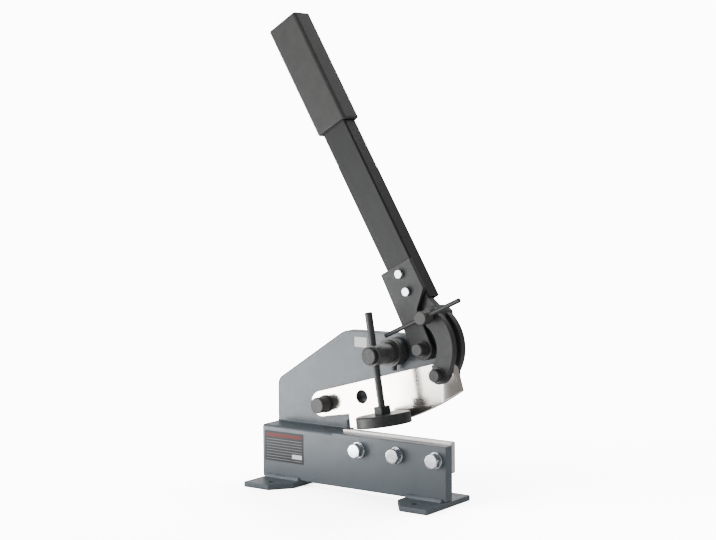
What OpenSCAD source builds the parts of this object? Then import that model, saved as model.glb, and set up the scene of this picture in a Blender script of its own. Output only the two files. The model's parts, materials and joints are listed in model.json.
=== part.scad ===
// Bench lever shear for sheet and bar: a joggled steel plate frame on two welded feet, a bolted lower blade,
// a swinging upper blade, a hand lever that drives it through a pair of curved links, and a hold-down.
// X runs along the blades, +Y points away from the user and +Z is up. The origin lies on the bench,
// at the centre of the four bench bolt holes.

/* [Frame plate] */
// Length of the front cheek
front_len = 360; // [340:1:420]
// Height of the front cheek above the feet
front_h = 86; // [80:1:100]
// Thickness of the frame plate
plate_t = 18; // [16:0.5:20]
// Gap between the bent web that joins the two cheeks and the lower blade
web_gap = 9; // [4:1:17]
// Outer radius of the two bends
bend_outer_r = 4; // [3:0.5:8]
// Inner radius of the two bends
bend_inner_r = 3; // [2:0.5:6]
// Height of the rear cheek above the feet
rear_h = 247.5; // [242:0.5:252]
// Height at which the rear cheek's left edge starts to round over
shoulder_h = 147; // [135:1:155]
// Radius of that lower corner
shoulder_r = 18; // [10:1:25]
// Radius of the corner between the sloping edge and the top edge
crown_r = 40; // [20:1:50]
// Slope of the rear cheek's upper left edge in degrees
shoulder_slope = 33; // [30:1:36]
// Radius of the rear cheek round the lever pivot
cheek_end_r = 18; // [15:0.5:18.5]

/* [Feet] */
// Width of each foot along the plate
foot_w = 76; // [66:1:90]
// Thickness of each foot
foot_t = 8; // [6:0.5:12]
// How far the feet reach in front of the plate
foot_front = 56; // [48:1:70]
// How far the feet reach behind the front cheek
foot_back = 48; // [48:1:70]
// Left edge of the left foot from the plate's left end
left_foot_x = 5; // [0:1:15]
// How far the right foot reaches past the plate's right end
right_foot_out = 2; // [0:1:10]
// Cut corner of each foot, along the plate
foot_cut = 26; // [10:1:30]
// Cut corner of each foot, across the plate
foot_cut_in = 34; // [10:1:36]
// Diameter of a bench bolt hole
bench_hole_d = 11; // [9:0.5:13]
// Distance of the bolt holes from the plate's faces
bench_hole_out = 30; // [24:1:36]
// Leg of the fillet welds
weld_leg = 6; // [3:0.5:8]

/* [Blades] */
// Length of the lower blade
lower_len = 206; // [200:1:208]
// Height of the lower blade
lower_h = 48; // [44:1:56]
// Thickness of the lower blade
lower_t = 11; // [8:0.5:12]
// How far the lower blade stands above the front cheek
lower_proud = 4; // [2:0.5:6]
// Thickness of the upper blade
upper_t = 12; // [10:0.5:14]
// Radius of the upper blade's round end
upper_end_r = 21; // [18:0.5:22]
// Slope of the upper blade's back in degrees
upper_slope = 15.5; // [14:0.5:17]
// Radius of the curved cutting edge
edge_r = 450; // [400:5:600]
// Diameter of the round bar hole
bar_hole_d = 22; // [16:0.5:24]
// Across flats of the lower blade's bolts
blade_bolt_af = 22; // [19:0.5:24]
// Shank diameter of the lower blade's bolts
blade_bolt_d = 14; // [12:0.5:16]
// Distance between the lower blade's bolts
blade_bolt_pitch = 73; // [65:1:75]

/* [Lever] */
// Lean of the lever from upright in degrees, with the jaws open
lever_lean = 30.2; // [25:0.2:33]
// Distance of the lever's upper end from its pivot
lever_reach = 572; // [480:1:700]
// Width of the lever tube
tube_w = 50; // [44:1:54]
// Depth of the lever tube
tube_d = 30; // [28:0.5:33]
// Wall of the lever tube
tube_wall = 2.4; // [2:0.1:3]
// Length of the rubber grip
grip_len = 198; // [120:1:240]
// Wall of the rubber grip
grip_wall = 6; // [3:0.5:7]
// Thickness of the bracket plate
bracket_t = 8; // [6:0.5:8.5]
// Radius of the lever's plates round the pivot
lever_eye_r = 18; // [15:0.5:18.5]
// Diameter of the lever pivot
lever_pivot_d = 16; // [14:0.5:18]
// Diameter of the blade pivot
blade_pivot_d = 18; // [14:0.5:20]

/* [Links] */
// Thickness of a link
link_t = 12; // [10:0.5:12.5]
// Outer radius of the curved links
link_outer_r = 70.5; // [68:0.5:72]
// Inner radius of the curved links
link_inner_r = 41; // [40:0.5:43]
// Radius of the links' round ends
link_eye_r = 15; // [13:0.5:15.5]
// Diameter of the pin between the links and the upper blade
link_pin_d = 12; // [10:0.5:12]
// Diameter of the lock screw
lock_d = 14; // [12:0.5:16]
// Diameter of the lock screw's head
lock_head_d = 22; // [18:0.5:26]
// Length of the lock screw's head
lock_head_len = 20; // [14:0.5:24]
// Diameter of the tommy bar
tommy_d = 6.4; // [4:0.2:7]
// Length of the tommy bar
tommy_len = 150; // [120:1:152]

/* [Hold-down] */
// Diameter of the hold-down arm
arm_d = 33; // [28:0.5:34]
// Wall of the bush that the arm slides in
arm_bush_wall = 1.5; // [1:0.1:2]
// Outer diameter of the sleeve on the frame
sleeve_d = 44; // [41:0.5:48]
// Length of the sleeve in front of the rear cheek
sleeve_len = 27; // [22:0.5:34]
// Diameter of the upright rod
rod_d = 11; // [8:0.5:14]
// Lean of the upright rod in degrees
rod_lean = 9.5; // [8:0.5:15]
// Diameter of the pressure pad
pad_d = 86; // [60:1:88]
// Thickness of the pressure pad
pad_t = 17; // [8:0.5:18]

/* [Hidden] */
$fn = 72;
// Clearance between the two blades
blade_gap = 0.3;
// Clearance between the links and what they run beside
side_gap = 0.4;
// Clearance between the upper blade and the rear cheek
rear_gap = 0.7;
// Radial clearance of a shaft in its bore
run_fit = 0.05;
// Clearance of pieces that slip into each other
slip_fit = 0.1;
// Overrun of every cut past the faces that it leaves through
cut = 1;
// Depth by which a straight edge starts inside the round that it meets
seat = 0.2;
// Fine facets for the long curve of the cutting edge
edge_fn = 240;

// Depth stations, from the front cheek's front face backwards
lower_y = plate_t;
upper_y = lower_y + lower_t + blade_gap;
upper_back_y = upper_y + upper_t;
rear_y = upper_back_y + rear_gap;
rear_back_y = rear_y + plate_t;
front_link_y = upper_y - side_gap - link_t;
rear_link_y = upper_back_y + side_gap;
rear_link_back_y = rear_link_y + link_t;
tube_y = upper_y - tube_wall;
bracket_y = tube_y - bracket_t;

// Pivots, as places along the plate and above the feet
blade_pivot = [109, 126];
blade_end = [101, 125.5];
lever_pivot = [305.2, 231];
link_top = [321, 282.8];
link_foot = [335.6, 193.1];
// How far the links' eyes lie inside their outer curve, and the centre of that curve
link_eye_in = 12;
link_line = link_foot - link_top;
link_rise = sqrt(max(0, (link_outer_r - link_eye_in) ^ 2 - (link_line * link_line) / 4));
link_centre = (link_top + link_foot) / 2 + [link_line[1], -link_line[0]] * link_rise / norm(link_line);
bar_hole = [181.6, 144];
arm_axis = [244, 221.5];

// Bench bolt pattern
right_foot_x = front_len + right_foot_out - foot_w;
bench_rows_y = [-bench_hole_out, plate_t + bench_hole_out];
bench_cols_x = [left_foot_x + foot_w / 2, right_foot_x + foot_w / 2];
origin_x = (bench_cols_x[0] + bench_cols_x[1]) / 2;
origin_y = (bench_rows_y[0] + bench_rows_y[1]) / 2;

// Lower blade's left end, and the length of the web that ends beside it
lower_end_in = 2;
lower_x = front_len - lower_len - lower_end_in;
web_len = lower_x - web_gap;

// Rear cheek outline
shoulder_tan = [shoulder_r * (1 - sin(shoulder_slope)), shoulder_h + shoulder_r * cos(shoulder_slope)];
crown_rise = rear_h - crown_r + crown_r * cos(shoulder_slope) - shoulder_tan[1];
crown_tan_x = shoulder_tan[0] + crown_rise / tan(shoulder_slope);
crown_x = crown_tan_x + crown_r * sin(shoulder_slope);
// Lowest point of the rear cheek's free edge, beside the web
cheek_root_h = 100;
// Corner of the rear cheek below the lever pivot, behind the upper blade
cheek_corner = [314, 196];
// Bend of that lower edge
cheek_knee = [290, 180];

// Upper blade outline
// Heel corner, where the cutting edge starts
heel = [161, 91.5];
// Step above the heel, clear of the web
heel_step = [156, 114];
// Right-hand end of the cutting edge
tip = [366.8, 168.5];
// Lug that carries the link pin
lug_left = [319, 205];
lug_top = [328, 221];
lug_h = 224;
// Lean of the blade's right-hand end in degrees
end_lean = 16.5;
chord = tip - heel;
chord_len = norm(chord);
edge_drop = sqrt(edge_r * edge_r - chord_len * chord_len / 4);
edge_centre = (heel + tip) / 2 + [-chord[1], chord[0]] * edge_drop / chord_len;
// The link pin's slot in the blade: how far the pin wanders in it, which way, and its play
pin_wander = 13;
pin_wander_dir = 40;
pin_play = 1.3;

// Lower blade and its fasteners
lower_top = front_h + lower_proud;
blade_bolt_h = 64;
last_bolt_in = 18;
blade_bolts_x = [for (i = [0:2]) front_len - last_bolt_in - i * blade_bolt_pitch];
blade_bolt_head = 9;
flat_washer_t = 2.5;
flat_washer_d = 25.5;
spring_washer_t = 3.5;
spring_washer_d = 23;
spring_gap = 2;
spring_twist = 12;

// Pivot bolts
blade_head_d = 26;
blade_washer_out = 1.5;
blade_head_len = 22;
lever_head_d = 20;
lever_head_len = 11;
pivot_washer_t = 2.5;
pivot_washer_out = 5;
head_washer_out = 1.5;
pivot_nut_t = 12;
pivot_nut_af = 27;
pivot_bolt_past = 3;
head_rim = 1.2;
bush_wall = 2;

// Lever plates, measured from the lever pivot: first across the lever, then along it
bracket_top = 135;
bracket_left = -10.8;
bracket_right = 50;
bracket_drop = 2;
bracket_waist = 81;
notch = [22, 57];
tube_left = -2.6;
tube_start = 67;
tongue_end = 148;
eye_chord = 6;
// Directions, in degrees, at which the core plate's straight edges leave its eyes
eye_side = 35;
eye_under = -60;
link_top_off = link_top - lever_pivot;
link_top_rel = [link_top_off[0] * cos(lever_lean) + link_top_off[1] * sin(lever_lean),
    link_top_off[1] * cos(lever_lean) - link_top_off[0] * sin(lever_lean)];
bracket_bolts_rel = [[22, 120], [20, 90]];
bracket_bolt_d = 8;
bracket_bolt_af = 13;
bracket_bolt_head = 5.5;
bracket_nut_t = 6.5;
bracket_bolt_past = 2;
tube_round = 3;
tube_round_in = 1;
grip_round = 6;
grip_cap = 8;
grip_past = 3;

// Link pin and lock screw
pin_head_d = 20;
pin_head_len = 11;
pin_washer_t = 2;
pin_washer_d = 24;
pin_nut_af = 19;
pin_nut_t = 10;
pin_past = 3;
lock_reach = 8.5;
lock_nut_af = 22;
lock_nut_t = 11;
lock_past = 2;
tommy_angle = 25;
tommy_left = 78;

// Hold-down
arm_front_y = -32;
rod_y = -22.6;
arm_back = 1;
bush_flange_t = 2;
bush_flange_out = 2;
rim_len = 3;
rim_out = 1;
rib_groove = 2;
rib_depth = 1.2;
rib_count = 4;
set_screw_d = 10;
set_screw_y = 30;
set_screw_out = 8;
knob_d = 27;
knob_len = 7;
knob_stem_d = 12;
rod_top = 67;
rod_tip = 1;
pad_top = 91.5;
rod_past = 0.5;
rod_bottom = pad_top + pad_t + rod_past;
rod_nut_af = 24;
rod_nut_t = 12;
pad_rim = 1.5;

// Moves a piece from the plate's own corner to the origin between the bench bolts
module in_frame() {
    translate([-origin_x, -origin_y, foot_t]) children();
}

// Extrudes an outline drawn across and upwards into a slab between two depths
module slab(from_y, to_y) {
    translate([0, to_y, 0]) rotate([90, 0, 0]) linear_extrude(to_y - from_y) children();
}

// A cylinder along the depth at a place on the plate
module rod_y(place, from_y, to_y, d) {
    translate([place[0], from_y, place[1]]) rotate([-90, 0, 0]) cylinder(h = to_y - from_y, d = d);
}

// A ring along the depth
module ring_y(place, from_y, to_y, d, bore) {
    difference() {
        rod_y(place, from_y, to_y, d);
        rod_y(place, from_y - cut, to_y + cut, bore);
    }
}

// A hexagon prism along the depth, with a corner upwards and both rims turned off
module hex_y(place, from_y, to_y, af) {
    corner = af / cos(30);
    len = to_y - from_y;
    rim = (corner - af) / 2;
    translate([place[0], from_y, place[1]]) rotate([-90, 0, 0]) intersection() {
        rotate([0, 0, 30]) cylinder(h = len, d = corner, $fn = 6);
        union() {
            cylinder(h = rim, d1 = af, d2 = corner);
            translate([0, 0, rim]) cylinder(h = len - rim, d = corner);
        }
    }
}

// A nut along the depth
module nut_y(place, from_y, to_y, af, bore) {
    difference() {
        translate([0, from_y + to_y, 0]) mirror([0, 1, 0]) hex_y(place, from_y, to_y, af);
        rod_y(place, from_y - cut, to_y + cut, bore);
    }
}

// A round head towards the user with a turned rim
module round_head(place, from_y, to_y, d) {
    translate([place[0], to_y, place[1]]) rotate([90, 0, 0]) {
        cylinder(h = to_y - from_y - head_rim, d = d);
        translate([0, 0, to_y - from_y - head_rim]) cylinder(h = head_rim, d1 = d, d2 = d - 2 * head_rim);
    }
}

// Square corner less a quarter circle, for fillets and rounded edges drawn in outline
module corner_bit(r, sx, sy) {
    scale([sx, sy]) difference() {
        square([r, r]);
        translate([r, r]) circle(r);
    }
}

// Section through the bent part of the plate, depth across and height up
module joggle_section() {
    difference() {
        union() {
            square([plate_t, front_h]);
            translate([0, front_h - plate_t]) square([rear_back_y, plate_t]);
            translate([rear_y, front_h - plate_t]) square([plate_t, cheek_root_h - front_h + plate_t]);
            translate([plate_t, front_h - plate_t]) corner_bit(bend_inner_r, 1, -1);
            translate([rear_y, front_h]) corner_bit(bend_inner_r, -1, 1);
        }
        translate([0, front_h]) corner_bit(bend_outer_r, 1, -1);
        translate([rear_back_y, front_h - plate_t]) corner_bit(bend_outer_r, -1, 1);
    }
}

// Outline of the rear cheek above the web
module rear_cheek_outline() {
    translate([shoulder_r, shoulder_h]) circle(shoulder_r);
    translate([crown_x, rear_h - crown_r]) circle(crown_r);
    translate(lever_pivot) circle(cheek_end_r);
    polygon([
        [0, cheek_root_h], [0, shoulder_h], shoulder_tan,
        [crown_tan_x, rear_h - crown_r + crown_r * cos(shoulder_slope)], [crown_x, rear_h],
        [lever_pivot[0], lever_pivot[1] + cheek_end_r],
        [lever_pivot[0] + cheek_end_r, lever_pivot[1]],
        cheek_corner, cheek_knee, [web_len, cheek_root_h]]);
}

module frame_plate() {
    color("#7d868b") in_frame() difference() {
        union() {
            rotate([90, 0, 90]) linear_extrude(web_len) joggle_section();
            translate([web_len, 0, 0]) cube([front_len - web_len, plate_t, front_h]);
            slab(rear_y, rear_back_y) rear_cheek_outline();
        }
        for (x = blade_bolts_x)
            rod_y([x, blade_bolt_h], -cut, plate_t + cut, blade_bolt_d + 2 * slip_fit);
        rod_y(blade_pivot, rear_y - cut, rear_back_y + cut, blade_pivot_d + 2 * run_fit);
        rod_y(lever_pivot, rear_y - cut, rear_back_y + cut, lever_pivot_d + 2 * run_fit);
        rod_y(bar_hole, rear_y - cut, rear_back_y + cut, bar_hole_d);
        rod_y(arm_axis, rear_y - cut, rear_back_y + cut, arm_d + 2 * arm_bush_wall + 4 * run_fit);
    }
}

// One foot, with its two cut corners towards the middle of the shear
module foot(x, inward) {
    depth = foot_front + plate_t + foot_back;
    difference() {
        translate([x + foot_w / 2, -foot_front, -foot_t]) scale([inward, 1, 1])
            linear_extrude(foot_t) polygon([
                [-foot_w / 2, 0], [foot_w / 2 - foot_cut, 0], [foot_w / 2, foot_cut_in],
                [foot_w / 2, depth - foot_cut_in], [foot_w / 2 - foot_cut, depth], [-foot_w / 2, depth]]);
        for (y = bench_rows_y)
            translate([x + foot_w / 2, y, -foot_t - cut]) cylinder(h = foot_t + 2 * cut, d = bench_hole_d);
    }
}

module left_foot() {
    color("#7d868b") in_frame() foot(left_foot_x, 1);
}

module right_foot() {
    color("#7d868b") in_frame() foot(right_foot_x, -1);
}

// One weld bead, a quarter round along the plate
module weld(x, y, side) {
    reach = min(foot_w, front_len - x);
    translate([x, y, 0]) rotate([90, 0, 90]) linear_extrude(reach) intersection() {
        circle(weld_leg);
        translate([side < 0 ? -weld_leg : 0, 0]) square(weld_leg);
    }
}

module foot_welds() {
    color("#868f94") in_frame() for (x = [left_foot_x, right_foot_x]) {
        weld(x, 0, -1);
        weld(x, plate_t, 1);
    }
}

module lower_blade() {
    color("#c9ccce") in_frame() difference() {
        translate([lower_x, lower_y, lower_top - lower_h]) cube([lower_len, lower_t, lower_h]);
        for (x = blade_bolts_x)
            rod_y([x, blade_bolt_h], lower_y - cut, lower_y + lower_t + cut, blade_bolt_d + 2 * slip_fit);
    }
}

module lower_blade_bolts() {
    washers = flat_washer_t + spring_washer_t;
    color("#e2e4e6") in_frame() for (x = blade_bolts_x) {
        hex_y([x, blade_bolt_h], -washers - blade_bolt_head, -washers, blade_bolt_af);
        rod_y([x, blade_bolt_h], -washers - blade_bolt_head / 2, lower_y + lower_t - cut, blade_bolt_d);
    }
}

module spring_washers() {
    color("#b9bcbf") in_frame() for (x = blade_bolts_x) difference() {
        ring_y([x, blade_bolt_h], -flat_washer_t - spring_washer_t, -flat_washer_t, spring_washer_d,
            blade_bolt_d + 2 * slip_fit);
        translate([x, -flat_washer_t - spring_washer_t / 2, blade_bolt_h]) rotate([0, 0, spring_twist])
            translate([-spring_gap / 2, -spring_washer_t, 0])
                cube([spring_gap, 2 * spring_washer_t, spring_washer_d]);
    }
}

module flat_washers() {
    color("#d3d5d7") in_frame() for (x = blade_bolts_x)
        ring_y([x, blade_bolt_h], -flat_washer_t, 0, flat_washer_d, blade_bolt_d + 2 * slip_fit);
}

module blade_pivot_bolt() {
    head_back = upper_y - side_gap - pivot_washer_t;
    color("#3d4042") in_frame() {
        round_head(blade_pivot, head_back - blade_head_len, head_back, blade_head_d);
        rod_y(blade_pivot, head_back, rear_back_y + pivot_washer_t + pivot_nut_t + pivot_bolt_past,
            blade_pivot_d);
    }
}

module blade_pivot_washer() {
    washer_y = upper_y - side_gap - pivot_washer_t;
    color("#3d4042") in_frame() {
        ring_y(blade_pivot, washer_y, washer_y + pivot_washer_t, blade_head_d + 2 * blade_washer_out,
            blade_pivot_d + 2 * run_fit);
        ring_y(blade_pivot, rear_back_y, rear_back_y + pivot_washer_t,
            blade_pivot_d + 4 * pivot_washer_out, blade_pivot_d + 2 * run_fit);
    }
}

module blade_pivot_nut() {
    nut_y0 = rear_back_y + pivot_washer_t;
    color("#3d4042") in_frame()
        nut_y(blade_pivot, nut_y0, nut_y0 + pivot_nut_t, pivot_nut_af, blade_pivot_d + 2 * run_fit);
}

module lever_pivot_bolt() {
    head_back = bracket_y - side_gap - 2 * pivot_washer_t;
    color("#3d4042") in_frame() {
        round_head(lever_pivot, head_back - lever_head_len, head_back, lever_head_d);
        rod_y(lever_pivot, head_back, rear_back_y + pivot_washer_t + pivot_nut_t + pivot_bolt_past,
            lever_pivot_d);
    }
}

module lever_pivot_washers() {
    inner_y = bracket_y - side_gap - pivot_washer_t;
    color("#55595c") in_frame() {
        ring_y(lever_pivot, inner_y - pivot_washer_t, inner_y, lever_head_d + 2 * head_washer_out,
            lever_pivot_d + 2 * run_fit);
        ring_y(lever_pivot, inner_y, inner_y + pivot_washer_t, lever_head_d + 4 * head_washer_out,
            lever_pivot_d + 2 * run_fit);
        ring_y(lever_pivot, rear_back_y, rear_back_y + pivot_washer_t,
            lever_pivot_d + 3 * pivot_washer_out, lever_pivot_d + 2 * run_fit);
    }
}

module lever_pivot_nut() {
    nut_y0 = rear_back_y + pivot_washer_t;
    color("#3d4042") in_frame()
        nut_y(lever_pivot, nut_y0, nut_y0 + pivot_nut_t, pivot_nut_af, lever_pivot_d + 2 * run_fit);
}

// Sleeve that guides the hold-down arm, with a raised rim and turned ribs
module hold_down_sleeve() {
    front = rear_y - sleeve_len;
    rib_pitch = (sleeve_len - rim_len) / (rib_count + 1);
    color("#26282a") in_frame() difference() {
        union() {
            rod_y(arm_axis, front, rear_y, sleeve_d);
            rod_y(arm_axis, front, front + rim_len, sleeve_d + 2 * rim_out);
        }
        for (i = [1:rib_count])
            ring_y(arm_axis, front + rim_len + i * rib_pitch - rib_groove / 2,
                front + rim_len + i * rib_pitch + rib_groove / 2, sleeve_d + 2 * cut,
                sleeve_d - 2 * rib_depth);
        rod_y(arm_axis, front - cut, rear_y + cut, arm_d + 2 * arm_bush_wall + 4 * run_fit);
        translate([arm_axis[0], set_screw_y, arm_axis[1] - sleeve_d])
            cylinder(h = sleeve_d, d = set_screw_d + 2 * run_fit);
    }
}

module sleeve_set_screw() {
    top = arm_axis[1] - arm_d / 2 - arm_bush_wall - 3 * run_fit;
    bottom = arm_axis[1] - sleeve_d / 2 - set_screw_out;
    color("#26282a") in_frame() translate([arm_axis[0], set_screw_y, bottom])
        cylinder(h = top - bottom, d = set_screw_d);
}

// Bush that turns in the sleeve and lets the arm slide, with a thin flange in front
module arm_bush() {
    front = rear_y - sleeve_len - side_gap - bush_flange_t;
    outer = arm_d + 2 * arm_bush_wall + 2 * run_fit;
    color("#55595c") in_frame() difference() {
        union() {
            rod_y(arm_axis, front, rear_back_y, outer);
            rod_y(arm_axis, front, front + bush_flange_t, outer + 2 * bush_flange_out);
        }
        rod_y(arm_axis, front - cut, rear_back_y + cut, arm_d + 2 * run_fit);
    }
}

// Places a piece on the rod's own axis: up along the rod, from where it crosses the arm
module on_rod() {
    translate([arm_axis[0], rod_y, arm_axis[1]]) rotate([0, -rod_lean, 0]) children();
}

module hold_down_arm() {
    color("#2b2d2f") in_frame() difference() {
        rod_y(arm_axis, arm_front_y, rear_back_y - arm_back, arm_d);
        on_rod() translate([0, 0, -arm_d]) cylinder(h = 2 * arm_d, d = rod_d + 2 * run_fit);
        rod_y(arm_axis, arm_front_y - cut, rod_y - rod_d / 2, knob_stem_d + 2 * run_fit);
    }
}

module rod_clamp_knob() {
    color("#3b3e40") in_frame() {
        translate([0, -side_gap, 0]) round_head(arm_axis, arm_front_y - knob_len, arm_front_y, knob_d);
        rod_y(arm_axis, arm_front_y - side_gap, rod_y - rod_d / 2 - side_gap, knob_stem_d);
    }
}

module hold_down_rod() {
    color("#55595b") in_frame() on_rod() {
        translate([0, 0, -rod_bottom]) cylinder(h = rod_bottom + rod_top - rod_tip, d = rod_d);
        translate([0, 0, rod_top - rod_tip]) cylinder(h = rod_tip, d1 = rod_d, d2 = rod_d - 2 * rod_tip);
    }
}

module rod_nut() {
    corner = rod_nut_af / cos(30);
    color("#303234") in_frame() on_rod() translate([0, 0, -pad_top]) difference() {
        cylinder(h = rod_nut_t, d = corner, $fn = 6);
        translate([0, 0, -cut]) cylinder(h = rod_nut_t + 2 * cut, d = rod_d + 2 * run_fit);
    }
}

module pressure_pad() {
    color("#4a4c4e") in_frame() on_rod() translate([0, 0, -pad_top - pad_t]) difference() {
        union() {
            cylinder(h = pad_t - pad_rim, d = pad_d);
            translate([0, 0, pad_t - pad_rim]) cylinder(h = pad_rim, d1 = pad_d, d2 = pad_d - 2 * pad_rim);
        }
        translate([0, 0, -cut]) cylinder(h = pad_t + 2 * cut, d = rod_d + 2 * run_fit);
    }
}

// Upper blade beside its pivot: a straight back, a lug for the link pin and a curved edge
module upper_blade_outline() {
    back_tan = blade_end + (upper_end_r - seat) * [-sin(upper_slope), cos(upper_slope)];
    lug_x = tip[0] - (lug_h - tip[1]) * tan(end_lean);
    intersection() {
        polygon([
            back_tan, [lug_left[0], back_tan[1] + (lug_left[0] - back_tan[0]) * tan(upper_slope)],
            lug_top, [lug_x, lug_h], tip, [tip[0], heel[1] - upper_end_r],
            [heel[0], heel[1] - upper_end_r], heel_step, blade_end - [0, upper_end_r - seat]]);
        translate(edge_centre) circle(edge_r, $fn = edge_fn);
    }
}

module upper_blade() {
    slot_end = link_foot + pin_wander * [cos(pin_wander_dir), sin(pin_wander_dir)];
    slot_d = link_pin_d + 2 * pin_play;
    color("#e6e6e4") in_frame() difference() {
        union() {
            slab(upper_y, upper_back_y) upper_blade_outline();
            rod_y(blade_end, upper_y, upper_back_y, 2 * upper_end_r);
        }
        rod_y(blade_pivot, upper_y - cut, upper_back_y + cut, blade_pivot_d + 2 * bush_wall + 2 * run_fit);
        rod_y(bar_hole, upper_y - cut, upper_back_y + cut, bar_hole_d);
        rod_y(link_foot, upper_y - cut, upper_back_y + cut, slot_d);
        rod_y(slot_end, upper_y - cut, upper_back_y + cut, slot_d);
        translate([link_foot[0], upper_y - cut, link_foot[1]]) rotate([0, -pin_wander_dir, 0])
            translate([0, 0, -slot_d / 2]) cube([pin_wander, upper_t + 2 * cut, slot_d]);
    }
}

module blade_bush() {
    color("#a98a4c") in_frame() ring_y(blade_pivot, upper_y, upper_back_y, blade_pivot_d + 2 * bush_wall,
        blade_pivot_d + 2 * run_fit);
}

// Places a piece on the lever: across it, then in depth, then along it from the pivot
module on_lever() {
    translate([lever_pivot[0], 0, lever_pivot[1]]) rotate([0, -lever_lean, 0]) children();
}

// Section of the lever tube or a skin on it, width across and depth up
module tube_section(grow, round_r) {
    w = tube_w + 2 * grow;
    d = tube_d + 2 * grow;
    translate([tube_left - grow, tube_y - grow]) {
        translate([round_r, 0]) square([w - 2 * round_r, d]);
        translate([0, round_r]) square([w, d - 2 * round_r]);
        for (x = [round_r, w - round_r])
            for (y = [round_r, d - round_r])
                translate([x, y]) circle(round_r);
    }
}

module lever_tube() {
    color("#3c3e40") in_frame() on_lever() difference() {
        translate([0, 0, tube_start]) linear_extrude(lever_reach - tube_start) difference() {
            tube_section(0, tube_round);
            tube_section(-tube_wall, tube_round_in);
        }
        for (place = bracket_bolts_rel)
            rod_y(place, tube_y - cut, tube_y + tube_d + cut, bracket_bolt_d + 2 * slip_fit);
    }
}

module rubber_grip() {
    start = lever_reach + grip_past + grip_cap - grip_len;
    color("#2a2a2b") in_frame() on_lever() difference() {
        translate([0, 0, start]) linear_extrude(grip_len) tube_section(grip_wall, grip_round);
        translate([0, 0, start - cut]) linear_extrude(lever_reach + slip_fit - start + cut)
            tube_section(slip_fit, tube_round);
    }
}

// Bracket plate: a wide shoulder on the tube, stepped in on the right, down to the eye on the pivot
module bracket_plate() {
    color("#454748") in_frame() on_lever() difference() {
        union() {
            rod_y([0, 0], bracket_y, tube_y, 2 * lever_eye_r);
            slab(bracket_y, tube_y) polygon([
                [bracket_left, bracket_top], [bracket_right, bracket_top - bracket_drop],
                [bracket_right, bracket_waist], notch, [lever_eye_r - seat, 0], [0, -eye_chord],
                [seat - lever_eye_r, 0]]);
        }
        rod_y([0, 0], bracket_y - cut, tube_y + cut, lever_pivot_d + 2 * run_fit);
        for (place = bracket_bolts_rel)
            rod_y(place, bracket_y - cut, tube_y + cut, bracket_bolt_d + 2 * slip_fit);
    }
}

// Core plate: a tongue inside the tube, an eye on the lever pivot and an eye for the links
module core_plate() {
    tongue_left = tube_left + tube_wall + tube_round_in + slip_fit;
    tongue_right = tube_left + tube_w - tube_wall - tube_round_in - slip_fit;
    color("#37393b") in_frame() on_lever() difference() {
        union() {
            rod_y([0, 0], upper_y, upper_back_y, 2 * lever_eye_r);
            rod_y(link_top_rel, upper_y, upper_back_y, 2 * link_eye_r);
            slab(upper_y, upper_back_y) polygon([
                [tongue_left, tongue_end], [tongue_right, tongue_end], [tongue_right, tube_start],
                link_top_rel + (link_eye_r - seat) * [cos(eye_side), sin(eye_side)],
                link_top_rel + (link_eye_r - seat) * [cos(eye_under), sin(eye_under)],
                (lever_eye_r - seat) * [cos(eye_under), sin(eye_under)], [seat - lever_eye_r, 0],
                [tongue_left, tube_start]]);
        }
        rod_y([0, 0], upper_y - cut, upper_back_y + cut, lever_pivot_d + 2 * bush_wall + 2 * run_fit);
        rod_y(link_top_rel, upper_y - cut, upper_back_y + cut, lock_d + 2 * run_fit);
        for (place = bracket_bolts_rel)
            rod_y(place, upper_y - cut, upper_back_y + cut, bracket_bolt_d + 2 * slip_fit);
    }
}

module lever_bush() {
    color("#a98a4c") in_frame() ring_y(lever_pivot, upper_y, upper_back_y, lever_pivot_d + 2 * bush_wall,
        lever_pivot_d + 2 * run_fit);
}

module pivot_spacer() {
    color("#55595c") in_frame() ring_y(lever_pivot, tube_y, upper_y, lever_pivot_d + 3 * pivot_washer_out,
        lever_pivot_d + 2 * run_fit);
}

module bracket_bolts() {
    color("#e2e4e6") in_frame() on_lever() for (place = bracket_bolts_rel) {
        hex_y(place, bracket_y - bracket_bolt_head, bracket_y, bracket_bolt_af);
        rod_y(place, bracket_y - bracket_bolt_head / 2, tube_y + tube_d + bracket_nut_t + bracket_bolt_past,
            bracket_bolt_d);
    }
}

module bracket_nuts() {
    back = tube_y + tube_d;
    color("#c9ccce") in_frame() on_lever() for (place = bracket_bolts_rel)
        nut_y(place, back, back + bracket_nut_t, bracket_bolt_af, bracket_bolt_d + 2 * slip_fit);
}

// Outline of a curved link: a band of a ring between its two round eyes
module link_outline() {
    far = 2 * link_outer_r;
    top_dir = link_top - link_centre;
    foot_dir = link_foot - link_centre;
    translate(link_top) circle(link_eye_r);
    translate(link_foot) circle(link_eye_r);
    intersection() {
        translate(link_centre) difference() {
            circle(link_outer_r);
            circle(link_inner_r);
        }
        polygon([link_centre, link_centre + top_dir / norm(top_dir) * far,
            link_centre + foot_dir / norm(foot_dir) * far]);
    }
}

module link(from_y) {
    difference() {
        slab(from_y, from_y + link_t) link_outline();
        rod_y(link_top, from_y - cut, from_y + link_t + cut, lock_d + 2 * run_fit);
        rod_y(link_foot, from_y - cut, from_y + link_t + cut, link_pin_d + 2 * run_fit);
    }
}

module front_link() {
    color("#444648") in_frame() link(front_link_y);
}

module rear_link() {
    color("#444648") in_frame() link(rear_link_y);
}

module link_pin() {
    head_back = front_link_y - pin_washer_t;
    color("#303234") in_frame() {
        round_head(link_foot, head_back - pin_head_len, head_back, pin_head_d);
        rod_y(link_foot, head_back, rear_link_back_y + pin_washer_t + pin_nut_t + pin_past, link_pin_d);
    }
}

module link_pin_washers() {
    color("#55595c") in_frame() for (y = [front_link_y - pin_washer_t, rear_link_back_y])
        ring_y(link_foot, y, y + pin_washer_t, pin_washer_d, link_pin_d + 2 * run_fit);
}

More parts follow.
